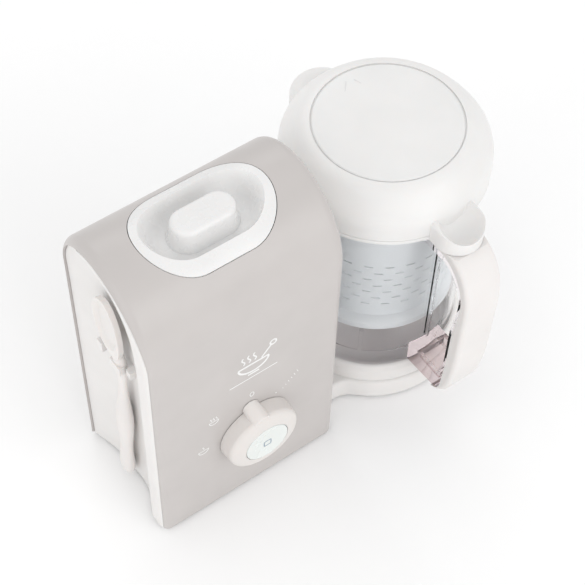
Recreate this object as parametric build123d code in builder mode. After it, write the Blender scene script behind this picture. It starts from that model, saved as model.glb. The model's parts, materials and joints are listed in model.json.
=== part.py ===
from build123d import *
import math
import os

# Baby food maker: a slim arch-topped body that boils water and drives the blade, and a clear
# jug that stands beside it on a round platform.  Millimetres, +Z up, origin on the floor under
# the centre of the whole appliance.  +X points from the body to the jug, -Y is the front.

# ---------------------------------------------------------------- driving dimensions
OVERALL_LENGTH = 303.0
OVERALL_DEPTH = 200.0
FLOOR_GAP = 2.0

BODY_WIDTH = 150.0
BODY_HEIGHT = 266.0
FRONT_ARC = 56.0
BACK_ARC = 45.0
BODY_EDGE_ROUND = 7.0
WALL = 2.5
SEAM_GAP = 0.35

BODY_LEFT = -OVERALL_LENGTH / 2
BODY_RIGHT = BODY_LEFT + BODY_WIDTH
BODY_MID = (BODY_LEFT + BODY_RIGHT) / 2
BODY_FRONT = -50.0
ARCH_Y = BODY_FRONT + FRONT_ARC
BODY_BACK = ARCH_Y + BACK_ARC

PANEL_DEPTH = 14.0
SCOOP_DEPTH = 11.3

CAP_LENGTH = 95.5
CAP_WIDTH = 63.4
CAP_SKIRT_Z = 238.0
DISH_FLOOR_Z = 249.0
CAP_GAP = 0.5

DIAL_X = -72.7
DIAL_Z = 75.0
DIAL_RADIUS = 28.5
BUTTON_RADIUS = 17.0
DIAL_HEIGHT = 16.0

LID_RADIUS = 72.75
JUG_X = OVERALL_LENGTH / 2 - LID_RADIUS
JUG_Y = 14.2
PLATFORM_RADIUS = 70.5
PLATFORM_TOP = 20.0
JUG_RADIUS = 64.0
JUG_BORE = 61.2
JUG_FLOOR_Z = 50.7
JUG_WALL_FOOT_Z = 36.0
JUG_RIM_Z = 194.5
LID_EDGE_Z = 195.5
LID_GROOVE_Z = 198.9
LID_SHOULDER_Z = 209.0
LID_TOP_Z = 234.5
LID_DISC_RADIUS = 52.1

HANDLE_WIDTH = 30.0
HANDLE_FRONT = -OVERALL_DEPTH / 2

SPINDLE_RADIUS = 4.0
RUNNING_GAP = 0.05
MOTOR_X = -50.0
MOTOR_RADIUS = 27.0
MOTOR_SHAFT_RADIUS = 3.0
DRIVE_PULLEY_RADIUS = 24.0
MOTOR_PULLEY_RADIUS = 10.0
BELT_Z = 8.5
BELT_WIDTH = 4.0
BELT_THICKNESS = 1.5

BOILER_RADIUS = 34.0
STEAM_Z = 205.0
GLAND_X = BODY_LEFT + 52.0
GLAND_Z = 24.0
GLAND_PLATE_WIDTH = 64.0
GLAND_PLATE_TOP = 46.0

os.makedirs("parts", exist_ok=True)

JUG_AXIS = Axis((JUG_X, JUG_Y, 0), (0, 0, 1))
JUG_SECTION = Plane(origin=(JUG_X, JUG_Y, 0), x_dir=(1, 0, 0), z_dir=(0, -1, 0))
BOILER_AXIS = Axis((BODY_MID, 0, 0), (0, 0, 1))
BOILER_SECTION = Plane(origin=(BODY_MID, 0, 0), x_dir=(1, 0, 0), z_dir=(0, -1, 0))
DIAL_AXIS = Axis((DIAL_X, 0, DIAL_Z), (0, -1, 0))
DIAL_PLANE = Plane(origin=(DIAL_X, BODY_FRONT, DIAL_Z), x_dir=(1, 0, 0), z_dir=(0, -1, 0))
DIAL_SECTION = Plane(origin=(DIAL_X, BODY_FRONT, DIAL_Z), x_dir=(1, 0, 0), z_dir=(0, 0, -1))


# ---------------------------------------------------------------- the body's outside form
def body_outline(x, inset, bottom):
    """Arch-topped side outline of the body at x, drawn inwards by inset, standing on bottom."""
    front = BODY_FRONT + inset
    back = BODY_BACK - inset
    front_radius = FRONT_ARC - inset
    back_radius = BACK_ARC - inset
    front_spring = BODY_HEIGHT - FRONT_ARC
    back_spring = BODY_HEIGHT - BACK_ARC
    with BuildSketch(Plane.YZ.offset(x)) as outline:
        with BuildLine():
            Line((back, bottom), (front, bottom))
            Line((front, bottom), (front, front_spring))
            CenterArc((ARCH_Y, front_spring), front_radius, 90, 90)
            CenterArc((ARCH_Y, back_spring), back_radius, 0, 90)
            Line((back, back_spring), (back, bottom))
        make_face()
    return outline.sketch


def body_block(inset, bottom, edge_round):
    """The body as one solid, drawn inwards by inset on every side, with rounded side edges."""
    with BuildPart() as block:
        extrude(body_outline(BODY_LEFT + inset, inset, bottom), amount=BODY_WIDTH - 2 * inset)
        fillet(block.faces().sort_by(Axis.X)[0].edges(), edge_round)
        fillet(block.faces().sort_by(Axis.X)[-1].edges(), edge_round)
    return block.part


def seam_outline(x, gap):
    """Outline at x of a side panel's opening in the shell, drawn inwards by gap."""
    front = BODY_FRONT + 2.0
    back = BODY_BACK - 3.0
    top = BODY_HEIGHT - 5.5
    crown_y = ARCH_Y + 0.5
    front_radius = crown_y - front
    back_radius = back - crown_y
    with BuildSketch(Plane.YZ.offset(x)) as outline:
        with BuildLine():
            Line((back, 0), (front, 0))
            Line((front, 0), (front, top - front_radius))
            CenterArc((crown_y, top - front_radius), front_radius, 90, 90)
            CenterArc((crown_y, top - back_radius), back_radius, 0, 90)
            Line((back, top - back_radius), (back, 0))
        make_face()
        if gap:
            offset(amount=-gap, kind=Kind.INTERSECTION)
    return outline.sketch


def stadium(length, width, z):
    """Stadium outline lying level over the boiler, its long axis along X."""
    with BuildSketch(Plane.XY.offset(z)) as outline:
        with Locations((BODY_MID, 0)):
            SlotOverall(length, width)
    return outline.sketch


body_form = body_block(0, FLOOR_GAP, BODY_EDGE_ROUND)
body_hollow = body_block(WALL, -FLOOR_GAP, BODY_EDGE_ROUND - WALL)

# ---------------------------------------------------------------- outer shell
with BuildPart() as outer_shell:
    add(body_form)
    add(body_hollow, mode=Mode.SUBTRACT)
    extrude(seam_outline(BODY_LEFT - 1, 0), amount=BODY_WIDTH + 2, mode=Mode.SUBTRACT)
    extrude(stadium(CAP_LENGTH + 2 * CAP_GAP, CAP_WIDTH + 2 * CAP_GAP, 240), amount=40, mode=Mode.SUBTRACT)
    with BuildSketch(DIAL_PLANE.offset(-10)):
        Circle(7)
    extrude(amount=20, mode=Mode.SUBTRACT)
    with BuildSketch(Plane.XZ.offset(-BODY_BACK - 5)):
        with Locations((GLAND_X, GLAND_PLATE_TOP / 2)):
            Rectangle(GLAND_PLATE_WIDTH, GLAND_PLATE_TOP)
    extrude(amount=20, mode=Mode.SUBTRACT)
outer_shell.part.label = "outer_shell"
export_step(outer_shell.part, "parts/outer_shell.step")

# A plate closes the notch at the foot of the back wall, with a lip that backs the wall's edges.
PLATE_MID_Z = (FLOOR_GAP + GLAND_PLATE_TOP - SEAM_GAP) / 2
PLATE_HEIGHT = GLAND_PLATE_TOP - SEAM_GAP - FLOOR_GAP
LIP_FOOT_Z = 8.0
with BuildPart() as gland_plate:
    with BuildSketch(Plane.XZ.offset(-BODY_BACK)):
        with Locations((GLAND_X, PLATE_MID_Z)):
            Rectangle(GLAND_PLATE_WIDTH - 2 * SEAM_GAP, PLATE_HEIGHT)
    extrude(amount=WALL + 0.8)
    with BuildSketch(Plane.XZ.offset(-BODY_BACK + WALL + 0.1)):
        with Locations((GLAND_X, (LIP_FOOT_Z + GLAND_PLATE_TOP + 3) / 2)):
            Rectangle(GLAND_PLATE_WIDTH + 6, GLAND_PLATE_TOP + 3 - LIP_FOOT_Z)
    extrude(amount=2)
    with BuildSketch(Plane.XZ.offset(-BODY_BACK - 5)):
        with Locations((GLAND_X, GLAND_Z)):
            Circle(7.3)
    extrude(amount=20, mode=Mode.SUBTRACT)
gland_plate.part.label = "gland_plate"
export_step(gland_plate.part, "parts/gland_plate.step")

# ---------------------------------------------------------------- scooped left panel
# Depth of the scoop below the side plane against Y, from the back edge to the front lip.
SCOOP_SECTION = [
    (54, 0.1),
    (40, 0.5),
    (24, 0.86),
    (4, 1.0),
    (-14, 0.95),
    (-24, 0.58),
    (-33, 0.16),
    (-41, -0.08),
]
# Height, share of the full depth, and shift towards the back, from the foot to the arch.
SCOOP_LEVELS = [(150, 1.0, 0), (185, 1.0, 0), (214, 0.94, 2), (235, 0.7, 8), (256, 0.0, 30)]


def scoop_cutter(extra):
    """The hollow that the spatula stands in, made deeper and wider by extra."""
    sections = []
    for height, share, shift in SCOOP_LEVELS:
        back_fixed = SCOOP_SECTION[0][0]
        points = []
        for y, depth in SCOOP_SECTION:
            slide = shift * (back_fixed - y) / (back_fixed - SCOOP_SECTION[-1][0])
            points.append((BODY_LEFT + SCOOP_DEPTH * depth * share + extra, y + slide))
        with BuildSketch(Plane.XY.offset(height)) as section:
            with BuildLine():
                Spline(*points)
                Line(points[-1], (BODY_LEFT - 10, points[-1][1]))
                Line((BODY_LEFT - 10, points[-1][1]), (BODY_LEFT - 10, points[0][1]))
                Line((BODY_LEFT - 10, points[0][1]), points[0])
            make_face()
        sections.append(section.sketch)
    with BuildPart() as cutter:
        extrude(sections[0], amount=-SCOOP_LEVELS[0][0] - 1)
        loft(sections)
    return cutter.part


with BuildPart() as panel_cavity:
    extrude(seam_outline(BODY_LEFT + WALL, SEAM_GAP + WALL), amount=PANEL_DEPTH)
    add(scoop_cutter(WALL), mode=Mode.SUBTRACT)

HOOK_Z = 166.0
with BuildPart() as left_side_panel:
    extrude(seam_outline(BODY_LEFT - 1, SEAM_GAP), amount=PANEL_DEPTH + 1)
    add(body_form, mode=Mode.INTERSECT)
    add(scoop_cutter(0), mode=Mode.SUBTRACT)
    add(panel_cavity.part, mode=Mode.SUBTRACT)
    # Two pegs that stand out of the scoop, one each side of the spatula's neck.
    with Locations((BODY_LEFT + 6.5, 12.8, HOOK_Z)):
        Box(11, 6, 9)
    with Locations((BODY_LEFT + 8.5, -15.0, HOOK_Z - 3)):
        Box(7, 5, 7)
left_side_panel.part.label = "left_side_panel"
export_step(left_side_panel.part, "parts/left_side_panel.step")

# ---------------------------------------------------------------- flat right panel
with BuildPart() as right_side_panel:
    extrude(seam_outline(BODY_RIGHT - WALL, SEAM_GAP), amount=WALL + 1)
    add(body_form, mode=Mode.INTERSECT)
    with BuildSketch(Plane.YZ.offset(BODY_RIGHT - 2 * WALL)):
        with Locations((JUG_Y, STEAM_Z)):
            Circle(5.4)
        with Locations((JUG_Y, BELT_Z)):
            Rectangle(60, 17)
    extrude(amount=3 * WALL, mode=Mode.SUBTRACT)
right_side_panel.part.label = "right_side_panel"
export_step(right_side_panel.part, "parts/right_side_panel.step")

# ---------------------------------------------------------------- round platform for the jug
BRIDGE_FRONT = -29.5
BRIDGE_BACK = 47.0


def platform_outline(z, inset):
    """Round platform with its waisted bridge to the body, drawn inwards by inset."""
    with BuildSketch(Plane.XY.offset(z)) as outline:
        with Locations((JUG_X, JUG_Y)):
            Circle(PLATFORM_RADIUS)
        with Locations(((BODY_RIGHT + JUG_X) / 2, (BRIDGE_FRONT + BRIDGE_BACK) / 2)):
            Rectangle(JUG_X - BODY_RIGHT - 0.1, BRIDGE_BACK - BRIDGE_FRONT)
        inner_corners = outline.vertices().filter_by(lambda v: BODY_RIGHT + 5 < v.X < JUG_X)
        fillet(inner_corners, 22)
        if inset:
            offset(amount=-inset)
    return outline.sketch


SPINDLE_BUSH_RADIUS = 8.0
with BuildPart() as jug_platform:
    extrude(platform_outline(FLOOR_GAP, 0), amount=PLATFORM_TOP - FLOOR_GAP)
    rim_edges = jug_platform.faces().sort_by(Axis.Z)[-1].edges().filter_by(GeomType.LINE, reverse=True)
    fillet(rim_edges, 3)
    extrude(platform_outline(0, WALL), amount=PLATFORM_TOP - WALL, mode=Mode.SUBTRACT)
    with BuildSketch(Plane.XY):
        with Locations((BODY_RIGHT, JUG_Y)):
            Rectangle(12, 56)
    extrude(amount=15, mode=Mode.SUBTRACT)
    with BuildSketch(Plane.XY.offset(14.6)):
        with Locations((JUG_X, JUG_Y)):
            Circle(SPINDLE_BUSH_RADIUS + 3.5)
    extrude(amount=PLATFORM_TOP + 1.5 - 14.6)
    # A low ring centres the jug, and three bosses take the screws from below.
    with BuildSketch(Plane.XY.offset(PLATFORM_TOP - 0.5)):
        with Locations((JUG_X, JUG_Y)):
            Circle(57)
            Circle(54.5, mode=Mode.SUBTRACT)
    extrude(amount=4)
    with BuildSketch(Plane.XY.offset(5.2)):
        with Locations((JUG_X, JUG_Y)):
            with PolarLocations(50, 3, start_angle=60):
                Circle(4)
    extrude(amount=PLATFORM_TOP - WALL - 5)
    with Locations((JUG_X, JUG_Y, 0)):
        Cylinder(SPINDLE_BUSH_RADIUS, 80, mode=Mode.SUBTRACT)
        with PolarLocations(50, 3, start_angle=60):
            with Locations((0, 0, 9.5)):
                Cylinder(1.7, 12, mode=Mode.SUBTRACT)
jug_platform.part.label = "jug_platform"
export_step(jug_platform.part, "parts/jug_platform.step")

# ---------------------------------------------------------------- base pan, feet and screws
PAN_THICKNESS = 3.0
LEG_PLACES = [(-124, -36), (-124, 38), (-13, -37), (-13, 40)]
MOUNT_LEG_ANGLES = [70, 180, 290]
MOUNT_LEG_CIRCLE = 27.0
FOOT_PLACES = [
    (-105, -36),
    (-105, 38),
    (-30, -36),
    (-30, 38),
    (JUG_X + 46, JUG_Y - 26),
    (JUG_X + 46, JUG_Y + 26),
]
PLATFORM_SCREW_ANGLES = [60, 180, 300]


def around(x, radius, angles):
    """Places in XY at the given angles on a circle round the drive line's point at x."""
    places = []
    for angle in angles:
        turn = math.radians(angle)
        places.append((x + radius * math.cos(turn), JUG_Y + radius * math.sin(turn)))
    return places


platform_screws = around(JUG_X, 50, PLATFORM_SCREW_ANGLES)
motor_screws = around(MOTOR_X, MOUNT_LEG_CIRCLE, MOUNT_LEG_ANGLES)
screw_places = LEG_PLACES + platform_screws + motor_screws

with BuildPart() as base_pan:
    with BuildSketch(Plane.XY.offset(FLOOR_GAP)):
        with Locations(((BODY_LEFT + 15 + BODY_RIGHT - 3.5) / 2, (BODY_FRONT + BODY_BACK) / 2)):
            RectangleRounded(BODY_WIDTH - 18.5, 94, 3)
        with Locations((JUG_X, JUG_Y)):
            Circle(PLATFORM_RADIUS - WALL - 0.6)
        with Locations((10, JUG_Y)):
            Rectangle(50, 54)
        with Locations(*screw_places):
            Circle(1.9, mode=Mode.SUBTRACT)
        with Locations(*FOOT_PLACES):
            Circle(3.2, mode=Mode.SUBTRACT)
        with Locations((MOTOR_X, JUG_Y - 6)):
            with GridLocations(7, 0, 5, 1):
                SlotOverall(24, 3, rotation=90, mode=Mode.SUBTRACT)
    extrude(amount=PAN_THICKNESS)
    with Locations(*[(x, y, FLOOR_GAP) for x, y in screw_places]):
        Cylinder(3.8, 3, mode=Mode.SUBTRACT)
base_pan.part.label = "base_pan"
export_step(base_pan.part, "parts/base_pan.step")

with BuildPart() as rubber_feet:
    with BuildSketch(Plane.XY):
        with Locations(*FOOT_PLACES):
            Circle(8)
    extrude(amount=FLOOR_GAP - 0.02)
    fillet(rubber_feet.faces().sort_by(Axis.Z)[0].edges(), 0.6)
    with BuildSketch(Plane.XY.offset(1)):
        with Locations(*FOOT_PLACES):
            Circle(3.1)
    extrude(amount=5)
rubber_feet.part.label = "rubber_feet"
export_step(rubber_feet.part, "parts/rubber_feet.step")

with BuildPart() as housing_screws:
    with BuildSketch(Plane.XY.offset(FLOOR_GAP + 0.1)):
        with Locations(*screw_places):
            Circle(3.3)
            RegularPolygon(1.4, 6, mode=Mode.SUBTRACT)
    extrude(amount=1.3)
    with BuildSketch(Plane.XY.offset(FLOOR_GAP + 1)):
        with Locations(*screw_places):
            Circle(1.55)
    extrude(amount=10)
housing_screws.part.label = "housing_screws"
export_step(housing_screws.part, "parts/housing_screws.step")

# ---------------------------------------------------------------- inner shelf on four legs
SHELF_Z = 106.0
PAN_TOP = FLOOR_GAP + PAN_THICKNESS
with BuildPart() as inner_shelf:
    with BuildSketch(Plane.XY.offset(SHELF_Z)):
        with Locations((-69, 1)):
            RectangleRounded(124, 86, 6)
        with Locations((BODY_MID, 0)):
            Circle(15, mode=Mode.SUBTRACT)
    extrude(amount=3)
    with BuildSketch(Plane.XY.offset(PAN_TOP + 0.1)):
        with Locations(*LEG_PLACES):
            Circle(4)
    extrude(amount=SHELF_Z - PAN_TOP)
    with BuildSketch(Plane.XY.offset(PAN_TOP - 1)):
        with Locations(*LEG_PLACES):
            Circle(1.6)
    extrude(amount=12, mode=Mode.SUBTRACT)
inner_shelf.part.label = "inner_shelf"
export_step(inner_shelf.part, "parts/inner_shelf.step")

# ---------------------------------------------------------------- motor, its mount and fan
MOTOR_Z = 26.0
MOTOR_LENGTH = 62.0
with BuildPart() as motor_mount:
    with BuildSketch(Plane.XY.offset(PAN_TOP + 0.1)):
        with Locations(*motor_screws):
            Circle(4)
    extrude(amount=20 - PAN_TOP - 0.1)
    with BuildSketch(Plane.XY.offset(20)):
        with Locations((MOTOR_X, JUG_Y)):
            Circle(MOTOR_RADIUS + 4)
        with Locations(*motor_screws):
            Circle(6)
        with Locations((MOTOR_X, JUG_Y)):
            Circle(12, mode=Mode.SUBTRACT)
    extrude(amount=3)
    with BuildSketch(Plane.XY.offset(PAN_TOP - 1)):
        with Locations(*motor_screws):
            Circle(1.6)
    extrude(amount=10, mode=Mode.SUBTRACT)
motor_mount.part.label = "motor_mount"
export_step(motor_mount.part, "parts/motor_mount.step")

with BuildPart() as motor_damper:
    with BuildSketch(Plane.XY.offset(23.02)):
        with Locations((MOTOR_X, JUG_Y)):
            Circle(MOTOR_RADIUS)
            Circle(14, mode=Mode.SUBTRACT)
    extrude(amount=MOTOR_Z - 23.04)
motor_damper.part.label = "motor_damper"
export_step(motor_damper.part, "parts/motor_damper.step")

with BuildPart() as drive_motor:
    with BuildSketch(Plane.XY.offset(MOTOR_Z)):
        with Locations((MOTOR_X, JUG_Y)):
            Circle(MOTOR_RADIUS)
    extrude(amount=MOTOR_LENGTH)
    fillet(drive_motor.edges().filter_by(GeomType.CIRCLE), 2.5)
    # Cooling slots around the can and a bearing boss at each end.
    with Locations((MOTOR_X, JUG_Y, MOTOR_Z + MOTOR_LENGTH / 2)):
        with PolarLocations(MOTOR_RADIUS, 8):
            Box(3, 8, 30, mode=Mode.SUBTRACT)
    with Locations((MOTOR_X, JUG_Y, MOTOR_Z + MOTOR_LENGTH / 2)):
        Cylinder(8, MOTOR_LENGTH + 5)
        Cylinder(MOTOR_SHAFT_RADIUS + RUNNING_GAP, MOTOR_LENGTH + 6, mode=Mode.SUBTRACT)
drive_motor.part.label = "drive_motor"
export_step(drive_motor.part, "parts/drive_motor.step")

with BuildPart() as motor_shaft:
    with BuildSketch(Plane.XY.offset(6.2)):
        with Locations((MOTOR_X, JUG_Y)):
            Circle(MOTOR_SHAFT_RADIUS)
    extrude(amount=93)
motor_shaft.part.label = "motor_shaft"
export_step(motor_shaft.part, "parts/motor_shaft.step")


def flanged_pulley(x, radius, bore):
    """Pulley with a flange above and below the belt, standing on the belt's level."""
    with BuildPart() as pulley:
        with Locations((x, JUG_Y, BELT_Z + BELT_WIDTH / 2)):
            Cylinder(radius, BELT_WIDTH + 0.6)
        with Locations((x, JUG_Y, BELT_Z - 0.8), (x, JUG_Y, BELT_Z + BELT_WIDTH + 0.8)):
            Cylinder(radius + BELT_THICKNESS + 0.6, 1.2)
        with Locations((x, JUG_Y, BELT_Z)):
            Cylinder(bore, 30, mode=Mode.SUBTRACT)
    return pulley.part


with BuildPart() as motor_pulley:
    add(flanged_pulley(MOTOR_X, MOTOR_PULLEY_RADIUS, MOTOR_SHAFT_RADIUS + 0.01))
motor_pulley.part.label = "motor_pulley"
export_step(motor_pulley.part, "parts/motor_pulley.step")

with BuildPart() as cooling_fan:
    with Locations((MOTOR_X, JUG_Y, 96)):
        Cylinder(6, 6)
        with PolarLocations(12.5, 9):
            Box(17, 1.4, 6, rotation=(32, 0, 0))
        Cylinder(MOTOR_SHAFT_RADIUS + 0.01, 10, mode=Mode.SUBTRACT)
cooling_fan.part.label = "cooling_fan"
export_step(cooling_fan.part, "parts/cooling_fan.step")

# ---------------------------------------------------------------- belt and drive spindle
BELT_CLEARANCE = 0.3


def belt_loop(radius_gain):
    """Outline of a taut loop round both pulleys, outside them by radius_gain."""
    with BuildSketch(Plane.XY.offset(BELT_Z)) as loop:
        with Locations((MOTOR_X, JUG_Y)):
            Circle(MOTOR_PULLEY_RADIUS + radius_gain)
        with Locations((JUG_X, JUG_Y)):
            Circle(DRIVE_PULLEY_RADIUS + radius_gain)
        make_hull()
    return loop.sketch


with BuildPart() as drive_belt:
    extrude(belt_loop(BELT_CLEARANCE + BELT_THICKNESS), amount=BELT_WIDTH)
    extrude(belt_loop(BELT_CLEARANCE), amount=BELT_WIDTH, mode=Mode.SUBTRACT)
drive_belt.part.label = "drive_belt"
export_step(drive_belt.part, "parts/drive_belt.step")

with BuildPart() as drive_pulley:
    add(flanged_pulley(JUG_X, DRIVE_PULLEY_RADIUS, SPINDLE_RADIUS + 0.01))
drive_pulley.part.label = "drive_pulley"
export_step(drive_pulley.part, "parts/drive_pulley.step")

with BuildPart() as drive_spindle:
    with BuildSketch(Plane.XY.offset(6.2)):
        with Locations((JUG_X, JUG_Y)):
            Circle(SPINDLE_RADIUS)
    extrude(amount=24)
drive_spindle.part.label = "drive_spindle"
export_step(drive_spindle.part, "parts/drive_spindle.step")

with BuildPart() as spindle_bush:
    with BuildSketch(Plane.XY.offset(14.8)):
        with Locations((JUG_X, JUG_Y)):
            Circle(SPINDLE_BUSH_RADIUS - 0.02)
            Circle(SPINDLE_RADIUS + RUNNING_GAP, mode=Mode.SUBTRACT)
    extrude(amount=7)
spindle_bush.part.label = "spindle_bush"
export_step(spindle_bush.part, "parts/spindle_bush.step")

DOG_TEETH = 6
DOG_Z = 22.6
with BuildPart() as drive_dog:
    with BuildSketch(Plane.XY.offset(DOG_Z)):
        with Locations((JUG_X, JUG_Y)):
            Circle(8)
            with PolarLocations(9.0, DOG_TEETH):
                Rectangle(4, 3)
            Circle(SPINDLE_RADIUS + 0.01, mode=Mode.SUBTRACT)
    extrude(amount=9)
drive_dog.part.label = "drive_dog"
export_step(drive_dog.part, "parts/drive_dog.step")

# ---------------------------------------------------------------- boiler and steam line
with BuildPart() as boiler_tank:
    with BuildSketch(BOILER_SECTION):
        with BuildLine():
            Polyline(
                (0, 131.2),
                (BOILER_RADIUS, 131.2),
                (BOILER_RADIUS, 216),
                (24.5, 225),
                (24.5, 236),
                (0, 236),
                close=True,
            )
        make_face()
    revolve(axis=BOILER_AXIS)
    fillet(boiler_tank.edges().filter_by(GeomType.CIRCLE).filter_by_position(Axis.Z, 131, 132), 6)
    fillet(boiler_tank.edges().filter_by(GeomType.CIRCLE).filter_by_position(Axis.Z, 215, 217), 5)
    offset(amount=-1.5, openings=boiler_tank.faces().sort_by(Axis.Z)[-1])
    with Locations((BODY_MID + BOILER_RADIUS, 0, STEAM_Z)):
        Cylinder(4.1, 12, rotation=(0, 90, 0), mode=Mode.SUBTRACT)
boiler_tank.part.label = "boiler_tank"
export_step(boiler_tank.part, "parts/boiler_tank.step")

with BuildPart() as heater_plate:
    with Locations((BODY_MID, 0, 126)):
        Cylinder(BOILER_RADIUS, 10)
    with Locations((BODY_MID, 0, 116)):
        with PolarLocations(30.5, 3, start_angle=30):
            Cylinder(3, 13.9)
heater_plate.part.label = "heater_plate"
export_step(heater_plate.part, "parts/heater_plate.step")

with BuildPart() as heating_element:
    with BuildSketch(BOILER_SECTION):
        with Locations((22, 117.4)):
            Circle(3.4)
    revolve(axis=BOILER_AXIS, revolution_arc=320)
    with Locations((BODY_MID + 22, -3, 117.4)):
        Cylinder(1.2, 14, rotation=(90, 0, 0))
heating_element.part.label = "heating_element"
export_step(heating_element.part, "parts/heating_element.step")

with BuildPart() as thermostat:
    with Locations((BODY_MID, 0, 118)):
        Cylinder(9, 5.9)
        with Locations((-5, 0, -6), (5, 0, -6)):
            Box(0.8, 5, 8)
thermostat.part.label = "thermostat"
export_step(thermostat.part, "parts/thermostat.step")

with BuildPart() as steam_pipe:
    with BuildLine():
        FilletPolyline(
            (BODY_MID + BOILER_RADIUS - 4, 0, STEAM_Z),
            (-27, 0, STEAM_Z),
            (-15, JUG_Y, STEAM_Z),
            (BODY_RIGHT - 3, JUG_Y, STEAM_Z),
            radius=6,
        )
    with BuildSketch(Plane(origin=(BODY_MID + BOILER_RADIUS - 4, 0, STEAM_Z), z_dir=(1, 0, 0))):
        Circle(4)
        Circle(2.8, mode=Mode.SUBTRACT)
    sweep()
steam_pipe.part.label = "steam_pipe"
export_step(steam_pipe.part, "parts/steam_pipe.step")

with BuildPart() as steam_nozzle:
    with BuildSketch(Plane.YZ.offset(BODY_RIGHT - 2.9)):
        with Locations((JUG_Y, STEAM_Z)):
            Circle(5.2)
    extrude(amount=6.4)
    with BuildSketch(Plane.YZ.offset(BODY_RIGHT + 0.05)):
        with Locations((JUG_Y, STEAM_Z)):
            Circle(9)
    extrude(amount=1.6)
    with BuildSketch(Plane.YZ.offset(BODY_RIGHT - 5)):
        with Locations((JUG_Y, STEAM_Z)):
            Circle(2.8)
    extrude(amount=20, mode=Mode.SUBTRACT)
steam_nozzle.part.label = "steam_nozzle"
export_step(steam_nozzle.part, "parts/steam_nozzle.step")

with BuildPart() as steam_seal:
    with BuildSketch(Plane(origin=(0, JUG_Y, STEAM_Z), x_dir=(1, 0, 0), z_dir=(0, -1, 0))):
        with BuildLine():
            Polyline(
                (BODY_RIGHT + 1.7, 5.3),
                (BODY_RIGHT + 1.7, 8),
                (BODY_RIGHT + 3.6, 6.6),
                (BODY_RIGHT + 6.6, 8.4),
                (BODY_RIGHT + 6.6, 5.3),
                close=True,
            )
        make_face()
    revolve(axis=Axis((0, JUG_Y, STEAM_Z), (1, 0, 0)))
steam_seal.part.label = "steam_seal"
export_step(steam_seal.part, "parts/steam_seal.step")

# ---------------------------------------------------------------- filler well and its cap
WELL_FLOOR_Z = 231.5
with BuildPart() as filler_well:
    extrude(stadium(CAP_LENGTH + 7, CAP_WIDTH + 5.5, WELL_FLOOR_Z), amount=40)
    extrude(stadium(CAP_LENGTH + 1, CAP_WIDTH + 1, WELL_FLOOR_Z + 2.5), amount=40, mode=Mode.SUBTRACT)
    add(body_block(WALL + 0.3, 0, BODY_EDGE_ROUND - WALL), mode=Mode.INTERSECT)
    with Locations((BODY_MID, 0, WELL_FLOOR_Z)):
        Cylinder(24.7, 10, mode=Mode.SUBTRACT)
filler_well.part.label = "filler_well"
export_step(filler_well.part, "parts/filler_well.step")

PLUG_RADIUS = 20.0
PLUG_FOOT_Z = 228.0
CAP_WALL = 3.0
# Height and inset from the cap's edge of the dish, whose wall flares softly outwards.
DISH_LEVELS = [(249, 17), (250, 14.3), (254, 10.9), (258, 9.2), (262, 7.6), (266, 5.0), (269, 1.5)]
# Height, length and width of the grip that stands in the dish.
GRIP_LEVELS = [(249.02, 50, 27.5), (252, 47.2, 24.7), (258, 45.2, 22.7), (265.8, 43.8, 21.3)]
with BuildPart() as dish:
    loft([stadium(CAP_LENGTH - 2 * inset, CAP_WIDTH - 2 * inset, z) for z, inset in DISH_LEVELS])

with BuildPart() as reservoir_cap:
    extrude(stadium(CAP_LENGTH, CAP_WIDTH, CAP_SKIRT_Z), amount=40)
    add(body_form, mode=Mode.INTERSECT)
    add(dish.part, mode=Mode.SUBTRACT)
    skirt_hollow = stadium(CAP_LENGTH - 2 * CAP_WALL, CAP_WIDTH - 2 * CAP_WALL, CAP_SKIRT_Z)
    extrude(skirt_hollow, amount=8, mode=Mode.SUBTRACT)
    with BuildSketch(Plane.XY.offset(PLUG_FOOT_Z)):
        with Locations((BODY_MID, 0)):
            Circle(PLUG_RADIUS)
            Circle(PLUG_RADIUS - CAP_WALL, mode=Mode.SUBTRACT)
    extrude(amount=DISH_FLOOR_Z - 2 - PLUG_FOOT_Z)
    with BuildSketch(Plane.XY.offset(PLUG_FOOT_Z)):
        with Locations((BODY_MID, 0)):
            Circle(PLUG_RADIUS + 1.6)
    extrude(amount=1.6)
reservoir_cap.part.label = "reservoir_cap"
export_step(reservoir_cap.part, "parts/reservoir_cap.step")

with BuildPart() as cap_grip:
    loft([stadium(length, width, z) for z, length, width in GRIP_LEVELS])
    fillet(cap_grip.faces().sort_by(Axis.Z)[-1].edges(), 3.5)
cap_grip.part.label = "cap_grip"
export_step(cap_grip.part, "parts/cap_grip.step")

with BuildPart() as cap_seal:
    with BuildSketch(Plane.XY.offset(PLUG_FOOT_Z + 1.7)):
        with Locations((BODY_MID, 0)):
            Circle(22.6)
            Circle(PLUG_RADIUS + 0.05, mode=Mode.SUBTRACT)
    extrude(amount=4)
    fillet(cap_seal.edges().filter_by(GeomType.CIRCLE).sort_by(SortBy.RADIUS)[-2:], 1.2)
cap_seal.part.label = "cap_seal"
export_step(cap_seal.part, "parts/cap_seal.step")

# ---------------------------------------------------------------- dial, button and switch
SHAFT_TIP = 5.5
# The pointer is a rounded ridge that runs up the dial's side at twelve o'clock.
with BuildPart() as pointer:
    with BuildSketch(DIAL_PLANE.offset(0.4)):
        with Locations((-3.6, 30.6)):
            Circle(6.2)
    with BuildSketch(DIAL_PLANE.offset(13)):
        with Locations((-1.6, 22.0)):
            Circle(7.4)
    loft()
    fillet(pointer.faces().sort_by(Axis.Y)[0].edges(), 1.5)

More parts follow.
